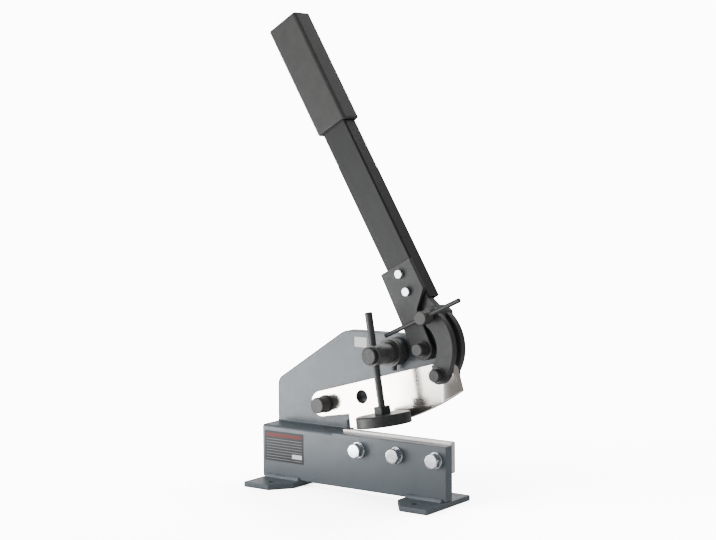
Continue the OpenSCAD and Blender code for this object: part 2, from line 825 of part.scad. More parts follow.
module link_pin_nut() {
    nut_y0 = rear_link_back_y + pin_washer_t;
    color("#303234") in_frame()
        nut_y(link_foot, nut_y0, nut_y0 + pin_nut_t, pin_nut_af, link_pin_d + 2 * run_fit);
}

// Places a piece on the tommy bar's axis, along the bar from the lock screw
module on_tommy() {
    translate([link_top[0], front_link_y - lock_reach - lock_head_len / 2, link_top[1]])
        rotate([0, 90 - tommy_angle, 0]) children();
}

module lock_screw() {
    head_back = front_link_y - lock_reach;
    color("#54575a") in_frame() difference() {
        union() {
            round_head(link_top, head_back - lock_head_len, head_back, lock_head_d);
            rod_y(link_top, head_back, rear_link_back_y + lock_nut_t + lock_past, lock_d);
        }
        on_tommy() translate([0, 0, -lock_head_d]) cylinder(h = 2 * lock_head_d, d = tommy_d + 2 * run_fit);
    }
}

module lock_nut() {
    color("#303234") in_frame() nut_y(link_top, rear_link_back_y, rear_link_back_y + lock_nut_t,
        lock_nut_af, lock_d + 2 * run_fit);
}

module tommy_bar() {
    color("#54575a") in_frame() on_tommy()
        translate([0, 0, -tommy_left]) cylinder(h = tommy_len, d = tommy_d);
}

frame_plate();
left_foot();
right_foot();
foot_welds();
lower_blade();
lower_blade_bolts();
spring_washers();
flat_washers();
blade_pivot_bolt();
blade_pivot_washer();
blade_pivot_nut();
lever_pivot_bolt();
lever_pivot_washers();
lever_pivot_nut();
hold_down_sleeve();
sleeve_set_screw();
arm_bush();
hold_down_arm();
rod_clamp_knob();
hold_down_rod();
rod_nut();
pressure_pad();
upper_blade();
blade_bush();
lever_tube();
rubber_grip();
bracket_plate();
core_plate();
lever_bush();
pivot_spacer();
bracket_bolts();
bracket_nuts();
front_link();
rear_link();
link_pin();
link_pin_washers();
link_pin_nut();
lock_screw();
lock_nut();
tommy_bar();
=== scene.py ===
import json
import math

import bmesh
import bpy
from mathutils import Matrix, Vector

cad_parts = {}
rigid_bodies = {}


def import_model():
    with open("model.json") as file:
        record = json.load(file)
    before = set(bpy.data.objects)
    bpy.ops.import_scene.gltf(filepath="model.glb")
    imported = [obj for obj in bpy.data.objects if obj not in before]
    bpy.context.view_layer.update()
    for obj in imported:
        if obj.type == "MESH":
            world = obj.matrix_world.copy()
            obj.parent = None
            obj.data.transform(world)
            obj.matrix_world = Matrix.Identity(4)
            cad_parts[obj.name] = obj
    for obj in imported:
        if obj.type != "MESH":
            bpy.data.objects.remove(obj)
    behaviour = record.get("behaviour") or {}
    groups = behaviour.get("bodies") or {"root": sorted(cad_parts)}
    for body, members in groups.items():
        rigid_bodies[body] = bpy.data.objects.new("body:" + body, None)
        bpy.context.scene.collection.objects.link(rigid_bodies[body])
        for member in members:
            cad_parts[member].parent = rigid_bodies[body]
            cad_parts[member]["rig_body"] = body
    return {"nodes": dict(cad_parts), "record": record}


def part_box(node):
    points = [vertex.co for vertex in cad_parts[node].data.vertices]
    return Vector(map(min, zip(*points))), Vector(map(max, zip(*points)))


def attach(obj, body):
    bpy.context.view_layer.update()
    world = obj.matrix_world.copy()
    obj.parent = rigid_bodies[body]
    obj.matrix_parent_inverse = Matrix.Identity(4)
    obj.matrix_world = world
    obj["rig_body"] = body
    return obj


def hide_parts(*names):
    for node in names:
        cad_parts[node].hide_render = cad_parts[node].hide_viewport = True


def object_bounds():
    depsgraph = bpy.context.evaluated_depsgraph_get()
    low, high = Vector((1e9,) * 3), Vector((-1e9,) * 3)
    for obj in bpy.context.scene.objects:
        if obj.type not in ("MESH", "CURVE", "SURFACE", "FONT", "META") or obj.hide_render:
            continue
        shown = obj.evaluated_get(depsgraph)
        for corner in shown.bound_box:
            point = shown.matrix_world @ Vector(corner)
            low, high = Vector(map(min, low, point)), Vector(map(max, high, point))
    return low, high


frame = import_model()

bl_info = {
    "name": "Bench lever shear",
    "version": (1, 0, 0),
    "blender": (4, 5, 0),
    "location": "View3D > Sidebar > Shear",
    "description": "Finishes a bench lever shear: rounded edges, threads, weld beads and surface finishes",
    "category": "Add Mesh",
}

CAD_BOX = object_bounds()
MM = 0.001
# Distance within which the solids' loose corners are one point
WELD = 0.004 * MM
DEPTH = Vector((0, 1, 0))

# Degrees. Faces that turn by less are made one, edges that turn by more are rounded, and what still turns
# by more after that stays a crease
FLAT_ANGLE = 0.4
EDGE_ANGLE = 28
CREASE_ANGLE = 38
THREAD_CREASE_ANGLE = 50
# A many-cornered face keeps its edges sharp if its mean width is under this many widths of rounding
SLIVER_WIDTHS = 1.5
# Weight of large faces in the shading, where 50 weighs all faces alike and 100 is the most
FACE_WEIGHT = 90
# Steps in the rounding of an edge
EDGE_STEPS = 3
SMALL_EDGE_STEPS = 2
GRIP_EDGE_STEPS = 4

# A headed piece's head begins where its corners lie beyond this many shank radii
HEAD_REACH = 1.05
# A bore's wall lies within this many radii, and its faces look at most this much along the bore
BORE_REACH = 1.01
BORE_TURN = 0.3

# Hexagons: steps round, the flat top's share of the width, the slope of the cone that cuts the corners, the
# depth of a bore's chamfers as a share of the bore, and the turn that puts corners at the top and bottom
HEX_STEPS = 72
HEX_TOP = 0.95
HEX_SLOPE = math.tan(math.radians(30))
BORE_CHAMFER = 0.05
CORNER_UP = 30
# The ring of faces that keeps the middle of a bolt head flat, as a share of the head's width
HEAD_RING = 0.12
# How far the lower blade's bolts are turned at random, in degrees, and the seed of that turn
BOLT_TURN = 50
BOLT_SEED = 4

# Threads: rows of corners in a pitch, corners round, and depth as a share of the pitch
THREAD_ROWS = 10.0
THREAD_SIDES = 48
THREAD_DEPTH = 0.6
# Weld beads: bare end as a share of the leg, the first bead's seed, segments and rings of a ripple, and the
# least and most that it is stretched along the bead, across it and up
BEAD_MARGIN = 0.6
BEAD_SEED = 3
RIPPLE_SEGMENTS = 20
RIPPLE_RINGS = 12
RIPPLE_LEAST = (0.5, 0.92, 0.92)
RIPPLE_MOST = (0.62, 1.0, 1.0)

# Label and sticker: number of rules, steps in a corner, and corner radii in mm
RULES = 8
CORNER_STEPS = 6
LABEL_CORNER = 1.5
PRINT_CORNER = 0.8
STICKER_CORNER = 1.0

# Area lights: kind, name, place, width, height and power, in metres and watts. A softbox stands off the
# middle of the shear and faces it. A reflector lies face up on the floor, for the polished blade to mirror.
LIGHTS = (
    ("softbox", "card", (-0.73, -1.01, -0.14), 1.2, 0.46, 10),
    ("softbox", "key", (-1.5, -2.2, 1.0), 2.0, 1.4, 24),
    ("reflector", "wide_reflector", (-0.722, -0.723, 0.002), 0.5, 1.3, 30),
    ("reflector", "narrow_reflector", (-0.279, -0.9, 0.002), 0.27, 1.3, 2.3),
    ("softbox", "fill", (2.6, -1.2, 1.6), 1.2, 1.8, 4),
    ("softbox", "rim", (0.2, 2.6, 2.4), 2.4, 1.4, 40),
    ("softbox", "back", (-1.6, 2.2, 0.8), 1.6, 1.6, 12),
    ("softbox", "top", (0.1, -0.3, 3.2), 2.6, 2.6, 20),
)
REFLECTOR_TURN = math.radians(-33.4)
FLOOR_SIDES = 96
# Width of the camera's sensor in millimetres, and how far the camera sees in metres
SENSOR_WIDTH = 36
SIGHT = 100


# Colours, nodes and materials

def linear(colour):
    """Turns an sRGB hex colour into the linear colour that shaders take."""
    channels = [int(colour[i:i + 2], 16) / 255 for i in (1, 3, 5)]
    return tuple(c / 12.92 if c <= 0.04045 else ((c + 0.055) / 1.055) ** 2.4 for c in channels) + (1.0,)


def put(tree, kind, inputs=(), **settings):
    """Adds a node; inputs gives each socket, by name or number, a value or another node's output."""
    made = tree.nodes.new(kind)
    for name, value in settings.items():
        setattr(made, name, value)
    for key, value in dict(inputs).items():
        if isinstance(value, bpy.types.NodeSocket):
            tree.links.new(value, made.inputs[key])
        else:
            made.inputs[key].default_value = value
    return made


def start_material(name, colour, metallic, roughness):
    """Gives a new material, its node tree and its shader, with the plain values on the shader's sockets."""
    material = bpy.data.materials.new(name)
    material.use_nodes = True
    tree = material.node_tree
    shader = tree.nodes["Principled BSDF"]
    shader.inputs["Base Color"].default_value = linear(colour)
    shader.inputs["Metallic"].default_value = metallic
    shader.inputs["Roughness"].default_value = roughness
    return material, tree, shader


def object_point(tree, stretch=(1, 1, 1)):
    """Object coordinates, stretched so that a pattern can run longer in one direction."""
    place = put(tree, "ShaderNodeTexCoord").outputs["Object"]
    return put(tree, "ShaderNodeMapping", {"Vector": place, "Scale": stretch}).outputs["Vector"]


def grain(tree, size_mm, detail=2.0, stretch=(1, 1, 1)):
    """Noise whose features are about size_mm across."""
    return put(tree, "ShaderNodeTexNoise", {
        "Vector": object_point(tree, stretch), "Scale": 1 / (size_mm * MM), "Detail": detail,
    }).outputs["Fac"]


def vary(tree, shader, colour, darker, pattern):
    """Lets the base colour drift between two shades with a pattern."""
    span = put(tree, "ShaderNodeMapRange", {"Value": pattern, "From Min": 0.35, "From Max": 0.65})
    mix = put(tree, "ShaderNodeMix", {"Factor": span.outputs["Result"]}, data_type="RGBA")
    mix.inputs["A"].default_value = linear(darker)
    mix.inputs["B"].default_value = linear(colour)
    tree.links.new(mix.outputs["Result"], shader.inputs["Base Color"])


def roughen(tree, shader, pattern, smooth, rough):
    """Lets the roughness drift between two values with a pattern."""
    span = put(tree, "ShaderNodeMapRange", {
        "Value": pattern, "From Min": 0.3, "From Max": 0.7, "To Min": smooth, "To Max": rough})
    tree.links.new(span.outputs["Result"], shader.inputs["Roughness"])


def bump(tree, shader, pattern, depth_mm):
    """Raises the surface by a pattern, depth_mm from its lowest to its highest point."""
    relief = put(tree, "ShaderNodeBump", {"Height": pattern, "Distance": depth_mm * MM})
    tree.links.new(relief.outputs["Normal"], shader.inputs["Normal"])


def powder_coat(name, colour, darker, roughness=0.42):
    """Baked powder coat on steel: an even blue-grey with orange peel that breaks up its highlights."""
    material, tree, shader = start_material(name, colour, 0.0, roughness)
    vary(tree, shader, colour, darker, grain(tree, 45.0))
    roughen(tree, shader, grain(tree, 6.0), roughness - 0.06, roughness + 0.06)
    # Orange peel is about 1 mm across and is drawn at 2.2 mm, so that it shows
    bump(tree, shader, grain(tree, 2.2), 0.035)
    shader.inputs["Specular IOR Level"].default_value = 0.42
    shader.inputs["Coat Weight"].default_value = 0.1
    shader.inputs["Coat Roughness"].default_value = 0.3
    return material


def polished_blade(name, colour, darker):
    """Tool steel, ground and polished: mirror-like, softened by fine grinding lines along the blade."""
    material, tree, shader = start_material(name, colour, 1.0, 0.15)
    lines = grain(tree, 0.9, 3.0, (0.02, 1, 1))
    roughen(tree, shader, lines, 0.13, 0.17)
    vary(tree, shader, colour, darker, grain(tree, 60.0, 1.0))
    bump(tree, shader, lines, 0.0015)
    return material


def ground_blade(name, colour, darker):
    """Tool steel, surface ground: upright grinding lines and a softer gloss than the polished blade's."""
    material, tree, shader = start_material(name, colour, 1.0, 0.32)
    lines = grain(tree, 0.8, 3.0, (1, 1, 0.04))
    roughen(tree, shader, lines, 0.26, 0.4)
    vary(tree, shader, colour, darker, lines)
    bump(tree, shader, lines, 0.006)
    return material


def bright_zinc(name, colour, darker):
    """Bright zinc plate on formed steel: a cool mirror with a faint unevenness left by forming."""
    material, tree, shader = start_material(name, colour, 1.0, 0.17)
    roughen(tree, shader, grain(tree, 1.6, 3.0), 0.12, 0.24)
    vary(tree, shader, colour, darker, grain(tree, 5.0))
    bump(tree, shader, grain(tree, 2.5), 0.02)
    return material


def black_oxide(name, colour, darker, roughness=0.42):
    """Turned steel, oiled black oxide: a near-black skin with a soft sheen over a finely uneven surface."""
    material, tree, shader = start_material(name, colour, 0.0, roughness)
    shader.inputs["Specular IOR Level"].default_value = 0.3
    vary(tree, shader, colour, darker, grain(tree, 8.0, 3.0))
    roughen(tree, shader, grain(tree, 1.2, 2.0), roughness - 0.08, roughness + 0.08)
    bump(tree, shader, grain(tree, 0.8), 0.01)
    return material


def satin_enamel(name, colour, darker, roughness=0.52):
    """Satin black enamel on rolled steel: charcoal grey, with the rolled surface showing faintly through."""
    material, tree, shader = start_material(name, colour, 0.0, roughness)
    shader.inputs["Specular IOR Level"].default_value = 0.35
    vary(tree, shader, colour, darker, grain(tree, 30.0, 3.0))
    roughen(tree, shader, grain(tree, 3.0, 3.0), roughness - 0.07, roughness + 0.09)
    bump(tree, shader, grain(tree, 1.8, 2.0), 0.03)
    return material


def moulded_rubber(name, colour, darker):
    """Moulded rubber: matte, with a fine pebbled grain and a pale bloom at grazing angles."""
    material, tree, shader = start_material(name, colour, 0.0, 0.72)
    vary(tree, shader, colour, darker, grain(tree, 18.0))
    pebble = put(tree, "ShaderNodeTexVoronoi", {
        "Vector": object_point(tree), "Scale": 1 / (1.3 * MM)}, feature="SMOOTH_F1").outputs["Distance"]
    bump(tree, shader, pebble, 0.05)
    shader.inputs["Sheen Weight"].default_value = 0.15
    shader.inputs["Sheen Roughness"].default_value = 0.5
    return material


def sintered_bronze(name, colour, darker):
    """Sintered bronze: warm and slightly porous, dull with oil."""
    material, tree, shader = start_material(name, colour, 0.9, 0.4)
    vary(tree, shader, colour, darker, grain(tree, 1.5, 3.0))
    bump(tree, shader, grain(tree, 0.7), 0.02)
    return material


def printed_film(name, colour, roughness=0.5):
    """Screen-printed vinyl film: an even ink with a dull satin surface."""
    material, tree, shader = start_material(name, colour, 0.0, roughness)
    roughen(tree, shader, grain(tree, 2.0), roughness - 0.05, roughness + 0.05)
    shader.inputs["Specular IOR Level"].default_value = 0.25
    return material


def matte_sweep(name, colour):
    """Matte studio paper: an even pale floor that only takes soft shadows."""
    material, tree, shader = start_material(name, colour, 0.0, 0.9)
    roughen(tree, shader, grain(tree, 20.0), 0.85, 0.95)
    shader.inputs["Specular IOR Level"].default_value = 0.1
    return material


# Each finish: its maker, its colours in the settings and, where it isn't the maker's own, its roughness
FINISHES = {
    "frame_powder_coat": (powder_coat, "frame", "frame_shade"),
    # The weld bead's lighter colour is a painted highlight; its darker places take the frame's own paint
    "weld_powder_coat": (powder_coat, "weld", "frame", 0.34),
    "polished_tool_steel": (polished_blade, "blade", "blade_shade"),
    "ground_tool_steel": (ground_blade, "lower_blade", "blade_shade"),
    "bright_zinc": (bright_zinc, "zinc", "zinc_shade"),
    "black_oxide_steel": (black_oxide, "oxide", "oxide_shade"),
    "grey_oxide_steel": (black_oxide, "grey_oxide", "oxide", 0.36),
    "turned_oxide_steel": (black_oxide, "turned_oxide", "grey_oxide", 0.46),
    "satin_black_enamel": (satin_enamel, "enamel", "enamel_shade"),
    "tube_enamel": (satin_enamel, "tube", "tube_shade", 0.55),
    "sleeve_enamel": (satin_enamel, "sleeve", "turned_oxide", 0.3),
    "moulded_rubber": (moulded_rubber, "rubber", "rubber_shade"),
    "sintered_bronze": (sintered_bronze, "bronze", "bronze_shade"),
    "dark_film": (printed_film, "film"),
    "red_film": (printed_film, "film_red"),
    "pale_film": (printed_film, "film_pale", 0.45),
    "rule_film": (printed_film, "film_rule", 0.45),
    "studio_paper": (matte_sweep, "floor"),
}


def finish_of(name):
    """Makes each finish once, on first use, from the colours in the settings."""
    made = bpy.data.materials.get(name)
    if made:
        return made
    maker, *values = FINISHES[name]
    colours = bpy.context.scene.shear_finish
    return maker(name, *[getattr(colours, value) if isinstance(value, str) else value for value in values])


# Shaping and placing pieces

def settle(piece):
    """Turns the evaluated shape into a plain mesh and removes the modifiers."""
    graph = bpy.context.evaluated_depsgraph_get()
    shape = bpy.data.meshes.new_from_object(piece.evaluated_get(graph))
    shape.name = piece.name
    piece.modifiers.clear()
    piece.data = shape
    return piece


def new_piece(name, work):
    """Makes an object at the origin from a working mesh."""
    mesh = bpy.data.meshes.new(name)
    work.to_mesh(mesh)
    work.free()
    piece = bpy.data.objects.new(name, mesh)
    bpy.context.scene.collection.objects.link(piece)
    return piece


def mark_edges(mesh, width):
    """Marks the outward edges to be rounded, but for those of a face too narrow for it."""
    work = bmesh.new()
    work.from_mesh(mesh)
    weight = work.edges.layers.float.new("bevel_weight_edge")
    slivers = {face for face in work.faces if len(face.verts) > 4
               and 2 * face.calc_area() < SLIVER_WIDTHS * width * face.calc_perimeter()}
    for edge in work.edges:
        if len(edge.link_faces) == 2 and edge.is_convex and edge.calc_face_angle() > math.radians(EDGE_ANGLE):
            edge[weight] = 0.0 if slivers & set(edge.link_faces) else 1.0
    work.to_mesh(mesh)
    work.free()


def soften(piece, width_mm, segments=EDGE_STEPS):
    """Rounds the sharp edges and shades the rest smooth, with the flat faces kept flat."""
    piece.data.polygons.foreach_set("use_smooth", [True] * len(piece.data.polygons))
    mark_edges(piece.data, width_mm * MM)
    edge = piece.modifiers.new("Edge", "BEVEL")
    edge.width = width_mm * MM
    edge.segments = segments
    edge.limit_method = "WEIGHT"
    edge.use_clamp_overlap = False
    level = piece.modifiers.new("Level", "WEIGHTED_NORMAL")
    level.keep_sharp = True
    level.weight = FACE_WEIGHT
    settle(piece)
    piece.data.polygons.foreach_set("use_smooth", [True] * len(piece.data.polygons))
    piece.data.set_sharp_from_angle(angle=math.radians(CREASE_ANGLE))


def finish_piece(piece, finish, body, *nodes):
    """Gives a piece its finish, its body and the solids that it stands for."""
    piece.data.materials.clear()
    piece.data.materials.append(finish_of(finish))
    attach(piece, body)
    if nodes:
        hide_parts(*nodes)
    return piece


def solid_copy(node):
    """A working mesh of a solid, with its loose triangles merged and its flat faces made whole."""
    work = bmesh.new()
    work.from_mesh(frame["nodes"][node].data)
    bmesh.ops.remove_doubles(work, verts=work.verts, dist=WELD)
    bmesh.ops.dissolve_limit(work, angle_limit=math.radians(FLAT_ANGLE), verts=work.verts, edges=work.edges)
    return work


def trim(work, place, outward):
    """Cuts off what lies beyond a plane and closes the cut."""
    geometry = work.verts[:] + work.edges[:] + work.faces[:]
    cut = bmesh.ops.bisect_plane(work, geom=geometry, plane_co=place, plane_no=outward, clear_outer=True)
    rims = [e for e in cut["geom_cut"] if isinstance(e, bmesh.types.BMEdge)]
    bmesh.ops.holes_fill(work, edges=rims, sides=0)


def islands(node):
    """Lowest and highest corner of each separate solid in a node, from left to right and front to back."""
    work = solid_copy(node)
    left = set(work.verts)
    boxes = []
    while left:
        reach = [left.pop()]
        group = list(reach)
        while reach:
            for edge in reach.pop().link_edges:
                for vert in edge.verts:
                    if vert in left:
                        left.discard(vert)
                        reach.append(vert)
                        group.append(vert)
        low = Vector([min(v.co[i] for v in group) for i in range(3)])
        high = Vector([max(v.co[i] for v in group) for i in range(3)])
        boxes.append((low, high))
    work.free()
    return sorted(boxes, key=lambda box: (round(box[0].x, 4), box[0].y))


def turned(node):
    """Middle, depth at which the head ends and shank radius of a headed piece that lies front to back."""
    low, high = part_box(node)
    axis = (low + high) / 2
    points = [v.co for v in frame["nodes"][node].data.vertices]
    rear = [p.x for p in points if p.y > high.y - WELD]
    radius = (max(rear) - min(rear)) / 2
    head_back = max(p.y for p in points if math.hypot(p.x - axis.x, p.z - axis.z) > radius * HEAD_REACH)
    return axis, head_back, radius


def dressed(node, finish, edge_mm, segments=EDGE_STEPS, name=None, cuts=()):
    """The solid itself, trimmed if need be, with rounded edges and a finish."""
    work = solid_copy(node)
    for place, outward in cuts:
        trim(work, place, outward)
    piece = new_piece(name or node + "_finished", work)
    soften(piece, edge_mm, segments)
    return finish_piece(piece, finish, frame["nodes"][node]["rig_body"], node)


def axis_frame(start, direction, turn=0.0):
    """Matrix that puts local Z along a direction from a start point, with an added turn in degrees."""
    aim = direction.normalized().to_track_quat("Z", "X").to_matrix().to_4x4()
    return Matrix.Translation(start) @ aim @ Matrix.Rotation(math.radians(turn), 4, "Z")


def hexagon(flats_mm, height_mm, bore_mm=0.0, both_ends=False):
    """A hexagon head or nut up local Z, its corners cut to a cone at the top, or at both ends."""
    work = bmesh.new()
    half = flats_mm / 2
    rim = half * HEX_TOP
    turns = [2 * math.pi * i / HEX_STEPS for i in range(HEX_STEPS)]
    outer_low, outer_high, rim_low, rim_high = [], [], [], []
    for angle in turns:
        side = (math.degrees(angle) % 60) - 30
        reach = half / math.cos(math.radians(side))
        fall = (reach - rim) * HEX_SLOPE
        way = Vector((math.cos(angle), math.sin(angle), 0))
        outer_low.append(work.verts.new((way * reach + Vector((0, 0, fall if both_ends else 0))) * MM))
        outer_high.append(work.verts.new((way * reach + Vector((0, 0, height_mm - fall))) * MM))
        rim_low.append(work.verts.new(way * rim * MM))
        rim_high.append(work.verts.new((way * rim + Vector((0, 0, height_mm))) * MM))
    rings = [rim_low, outer_low, outer_high, rim_high]
    if bore_mm:
        chamfer = bore_mm * BORE_CHAMFER
        entry = bore_mm / 2 + chamfer
        for height, radius in ((height_mm, entry), (height_mm - chamfer, bore_mm / 2), (chamfer, bore_mm / 2),
                               (0, entry)):
            reach = radius * MM
            rings.append([work.verts.new((reach * math.cos(angle), reach * math.sin(angle), height * MM))
                          for angle in turns])
        rings.append(rim_low)
    for low, high in zip(rings, rings[1:]):
        for i in range(HEX_STEPS):
            j = (i + 1) % HEX_STEPS
            work.faces.new((low[i], low[j], high[j], high[i]))
    if not bore_mm:
        work.faces.new(rim_high)
        work.faces.new(list(reversed(rim_low)))
    bmesh.ops.recalc_face_normals(work, faces=work.faces)
    return work


# Geometry Nodes for threads, rows and weld beads

def new_tree(name, inputs):
    """A Geometry Nodes tree with named inputs; each is (name, kind, default)."""
    tree = bpy.data.node_groups.new(name, "GeometryNodeTree")
    tree.interface.new_socket("Geometry", in_out="INPUT", socket_type="NodeSocketGeometry")
    for label, kind, value in inputs:
        socket = tree.interface.new_socket(label, in_out="INPUT", socket_type="NodeSocket" + kind)
        if value is not None:
            socket.default_value = value
    tree.interface.new_socket("Geometry", in_out="OUTPUT", socket_type="NodeSocketGeometry")
    source = tree.nodes.new("NodeGroupInput")
    sink = tree.nodes.new("NodeGroupOutput")
    return tree, source.outputs, sink


def grown(name, tree, values, finish):
    """Runs a tree on an empty mesh, with a finish as its material, and keeps the plain result."""
    piece = new_piece(name, bmesh.new())
    modifier = piece.modifiers.new("Build", "NODES")
    modifier.node_group = tree
    given = {**values, "Material": finish_of(finish)}
    for item in tree.interface.items_tree:
        if item.item_type == "SOCKET" and item.in_out == "INPUT" and item.name in given:
            modifier[item.identifier] = given[item.name]
    return settle(piece)


def maths(tree, operation, first, second=None):
    """The result of a Math node on one or two numbers or sockets."""
    made = put(tree, "ShaderNodeMath", {0: first}, operation=operation)
    if isinstance(second, bpy.types.NodeSocket):
        tree.links.new(second, made.inputs[1])
    elif second is not None:
        made.inputs[1].default_value = second
    return made.outputs[0]


def hand_on(tree, given, sink, geometry):
    """Ends a tree: makes its instances real, gives them its material and hands them on."""
    whole = put(tree, "GeometryNodeRealizeInstances", {0: geometry})
    painted = put(tree, "GeometryNodeSetMaterial", {0: whole.outputs[0], "Material": given["Material"]})
    tree.links.new(painted.outputs[0], sink.inputs[0])
    return tree


def thread_tree():
    """A threaded stud up local Z: a cylinder whose side follows a triangular helix and fades at both ends."""
    tree, given, sink = new_tree("Thread", [
        ("Radius", "Float", 7 * MM), ("Depth", "Float", 1.2 * MM), ("Pitch", "Float", 2 * MM),
        ("Length", "Float", 28 * MM), ("Material", "Material", None)])
    rows = maths(tree, "MULTIPLY", maths(tree, "DIVIDE", given["Length"], given["Pitch"]), THREAD_ROWS)
    stud = put(tree, "GeometryNodeMeshCylinder", {
        "Vertices": THREAD_SIDES, "Side Segments": rows, "Radius": given["Radius"], "Depth": given["Length"]})
    place = put(tree, "ShaderNodeSeparateXYZ", {0: put(tree, "GeometryNodeInputPosition").outputs[0]}).outputs
    turn = maths(tree, "DIVIDE", maths(tree, "ARCTAN2", place["Y"], place["X"]), 2 * math.pi)
    climb = maths(tree, "DIVIDE", place["Z"], given["Pitch"])
    phase = maths(tree, "FRACT", maths(tree, "SUBTRACT", climb, turn))
    ridge = maths(tree, "ABSOLUTE", maths(tree, "SUBTRACT", maths(tree, "MULTIPLY", phase, 2.0), 1.0))
    from_end = maths(tree, "SUBTRACT", maths(tree, "MULTIPLY", given["Length"], 0.5),
                     maths(tree, "ABSOLUTE", place["Z"]))
    near_end = maths(tree, "MINIMUM", maths(tree, "DIVIDE", from_end, given["Pitch"]), 1.0)
    cut = maths(tree, "MULTIPLY", maths(tree, "MULTIPLY", given["Depth"], ridge), near_end)
    chamfer = maths(tree, "MULTIPLY", maths(tree, "SUBTRACT", 1.0, near_end), given["Depth"])
    inward = maths(tree, "ADD", cut, chamfer)
    keep = maths(tree, "SUBTRACT", 1.0, maths(tree, "DIVIDE", inward, given["Radius"]))
    moved = put(tree, "ShaderNodeCombineXYZ", {
        "X": maths(tree, "MULTIPLY", place["X"], keep), "Y": maths(tree, "MULTIPLY", place["Y"], keep),
        "Z": place["Z"]})
    shaped = put(tree, "GeometryNodeSetPosition", {
        "Geometry": stud.outputs["Mesh"], "Position": moved.outputs[0]})
    return hand_on(tree, given, sink, shaped.outputs[0])


def row_tree():
    """Copies one object along a line, each copy turned by its own random part of an angle."""
    tree, given, sink = new_tree("Row", [
        ("Piece", "Object", None), ("Count", "Int", 3), ("Step", "Vector", (73 * MM, 0, 0)),
        ("Turn", "Float", 0.0), ("Turn Axis", "Vector", (0, 1, 0)), ("Material", "Material", None)])
    line = put(tree, "GeometryNodeMeshLine", {
        "Count": given["Count"], "Offset": given["Step"]}, mode="OFFSET", count_mode="TOTAL")
    shape = put(tree, "GeometryNodeObjectInfo", {"Object": given["Piece"]})
    copies = put(tree, "GeometryNodeInstanceOnPoints", {
        "Points": line.outputs[0], "Instance": shape.outputs["Geometry"]})
    chance = put(tree, "FunctionNodeRandomValue", {"Seed": BOLT_SEED}, data_type="FLOAT")
    angle = maths(tree, "MULTIPLY", chance.outputs[1], given["Turn"])
    turn = put(tree, "FunctionNodeAxisAngleToRotation", {"Axis": given["Turn Axis"], "Angle": angle})
    spun = put(tree, "GeometryNodeRotateInstances", {
        "Instances": copies.outputs[0], "Rotation": turn.outputs[0]})
    return hand_on(tree, given, sink, spun.outputs[0])


def bead_tree():
    """A weld bead along X: overlapping flattened ripples whose size varies at random by a seed."""
    tree, given, sink = new_tree("Weld bead", [
        ("Length", "Float", 80 * MM), ("Pitch", "Float", 2.6 * MM), ("Leg", "Float", 6 * MM),
        ("Seed", "Int", 1), ("Material", "Material", None)])
    count = maths(tree, "DIVIDE", given["Length"], given["Pitch"])
    step = put(tree, "ShaderNodeCombineXYZ", {"X": given["Pitch"]})
    line = put(tree, "GeometryNodeMeshLine", {
        "Count": count, "Offset": step.outputs[0]}, mode="OFFSET", count_mode="TOTAL")
    ball = put(tree, "GeometryNodeMeshUVSphere", {
        "Segments": RIPPLE_SEGMENTS, "Rings": RIPPLE_RINGS, "Radius": given["Leg"]})
    ripple = put(tree, "GeometryNodeSetShadeSmooth", {0: ball.outputs[0]})
    size = put(tree, "FunctionNodeRandomValue", {
        0: RIPPLE_LEAST, 1: RIPPLE_MOST, "Seed": given["Seed"]}, data_type="FLOAT_VECTOR")
    copies = put(tree, "GeometryNodeInstanceOnPoints", {
        "Points": line.outputs[0], "Instance": ripple.outputs[0], "Scale": size.outputs[0]})
    return hand_on(tree, given, sink, copies.outputs[0])


def tree_of(name, maker):
    """Makes each tree once, on first use."""
    return bpy.data.node_groups.get(name) or maker()


def threaded(name, start, direction, length_mm, radius_mm, pitch_mm, finish, body):
    """A stretch of screw thread from a start point along a direction."""
    piece = grown(name, tree_of("Thread", thread_tree), {
        "Radius": radius_mm * MM, "Depth": pitch_mm * THREAD_DEPTH * MM, "Pitch": pitch_mm * MM,
        "Length": length_mm * MM}, finish)
    lift = Matrix.Translation((0, 0, length_mm * MM / 2))
    piece.data.transform(axis_frame(start, direction) @ lift)
    piece.data.polygons.foreach_set("use_smooth", [True] * len(piece.data.polygons))
    piece.data.set_sharp_from_angle(angle=math.radians(THREAD_CREASE_ANGLE))
    finish_piece(piece, finish, body)


# Sizes and colours that a user would change

def colour(label, value):
    """A colour as an sRGB hex string."""
    return bpy.props.StringProperty(name=label, description=label + " as an sRGB hex colour", default=value)


def length(label, text, value, low, high):
    """A length in millimetres."""
    return bpy.props.FloatProperty(name=label, description=text + ", in millimetres", default=value, min=low,
                                   max=high, precision=2)


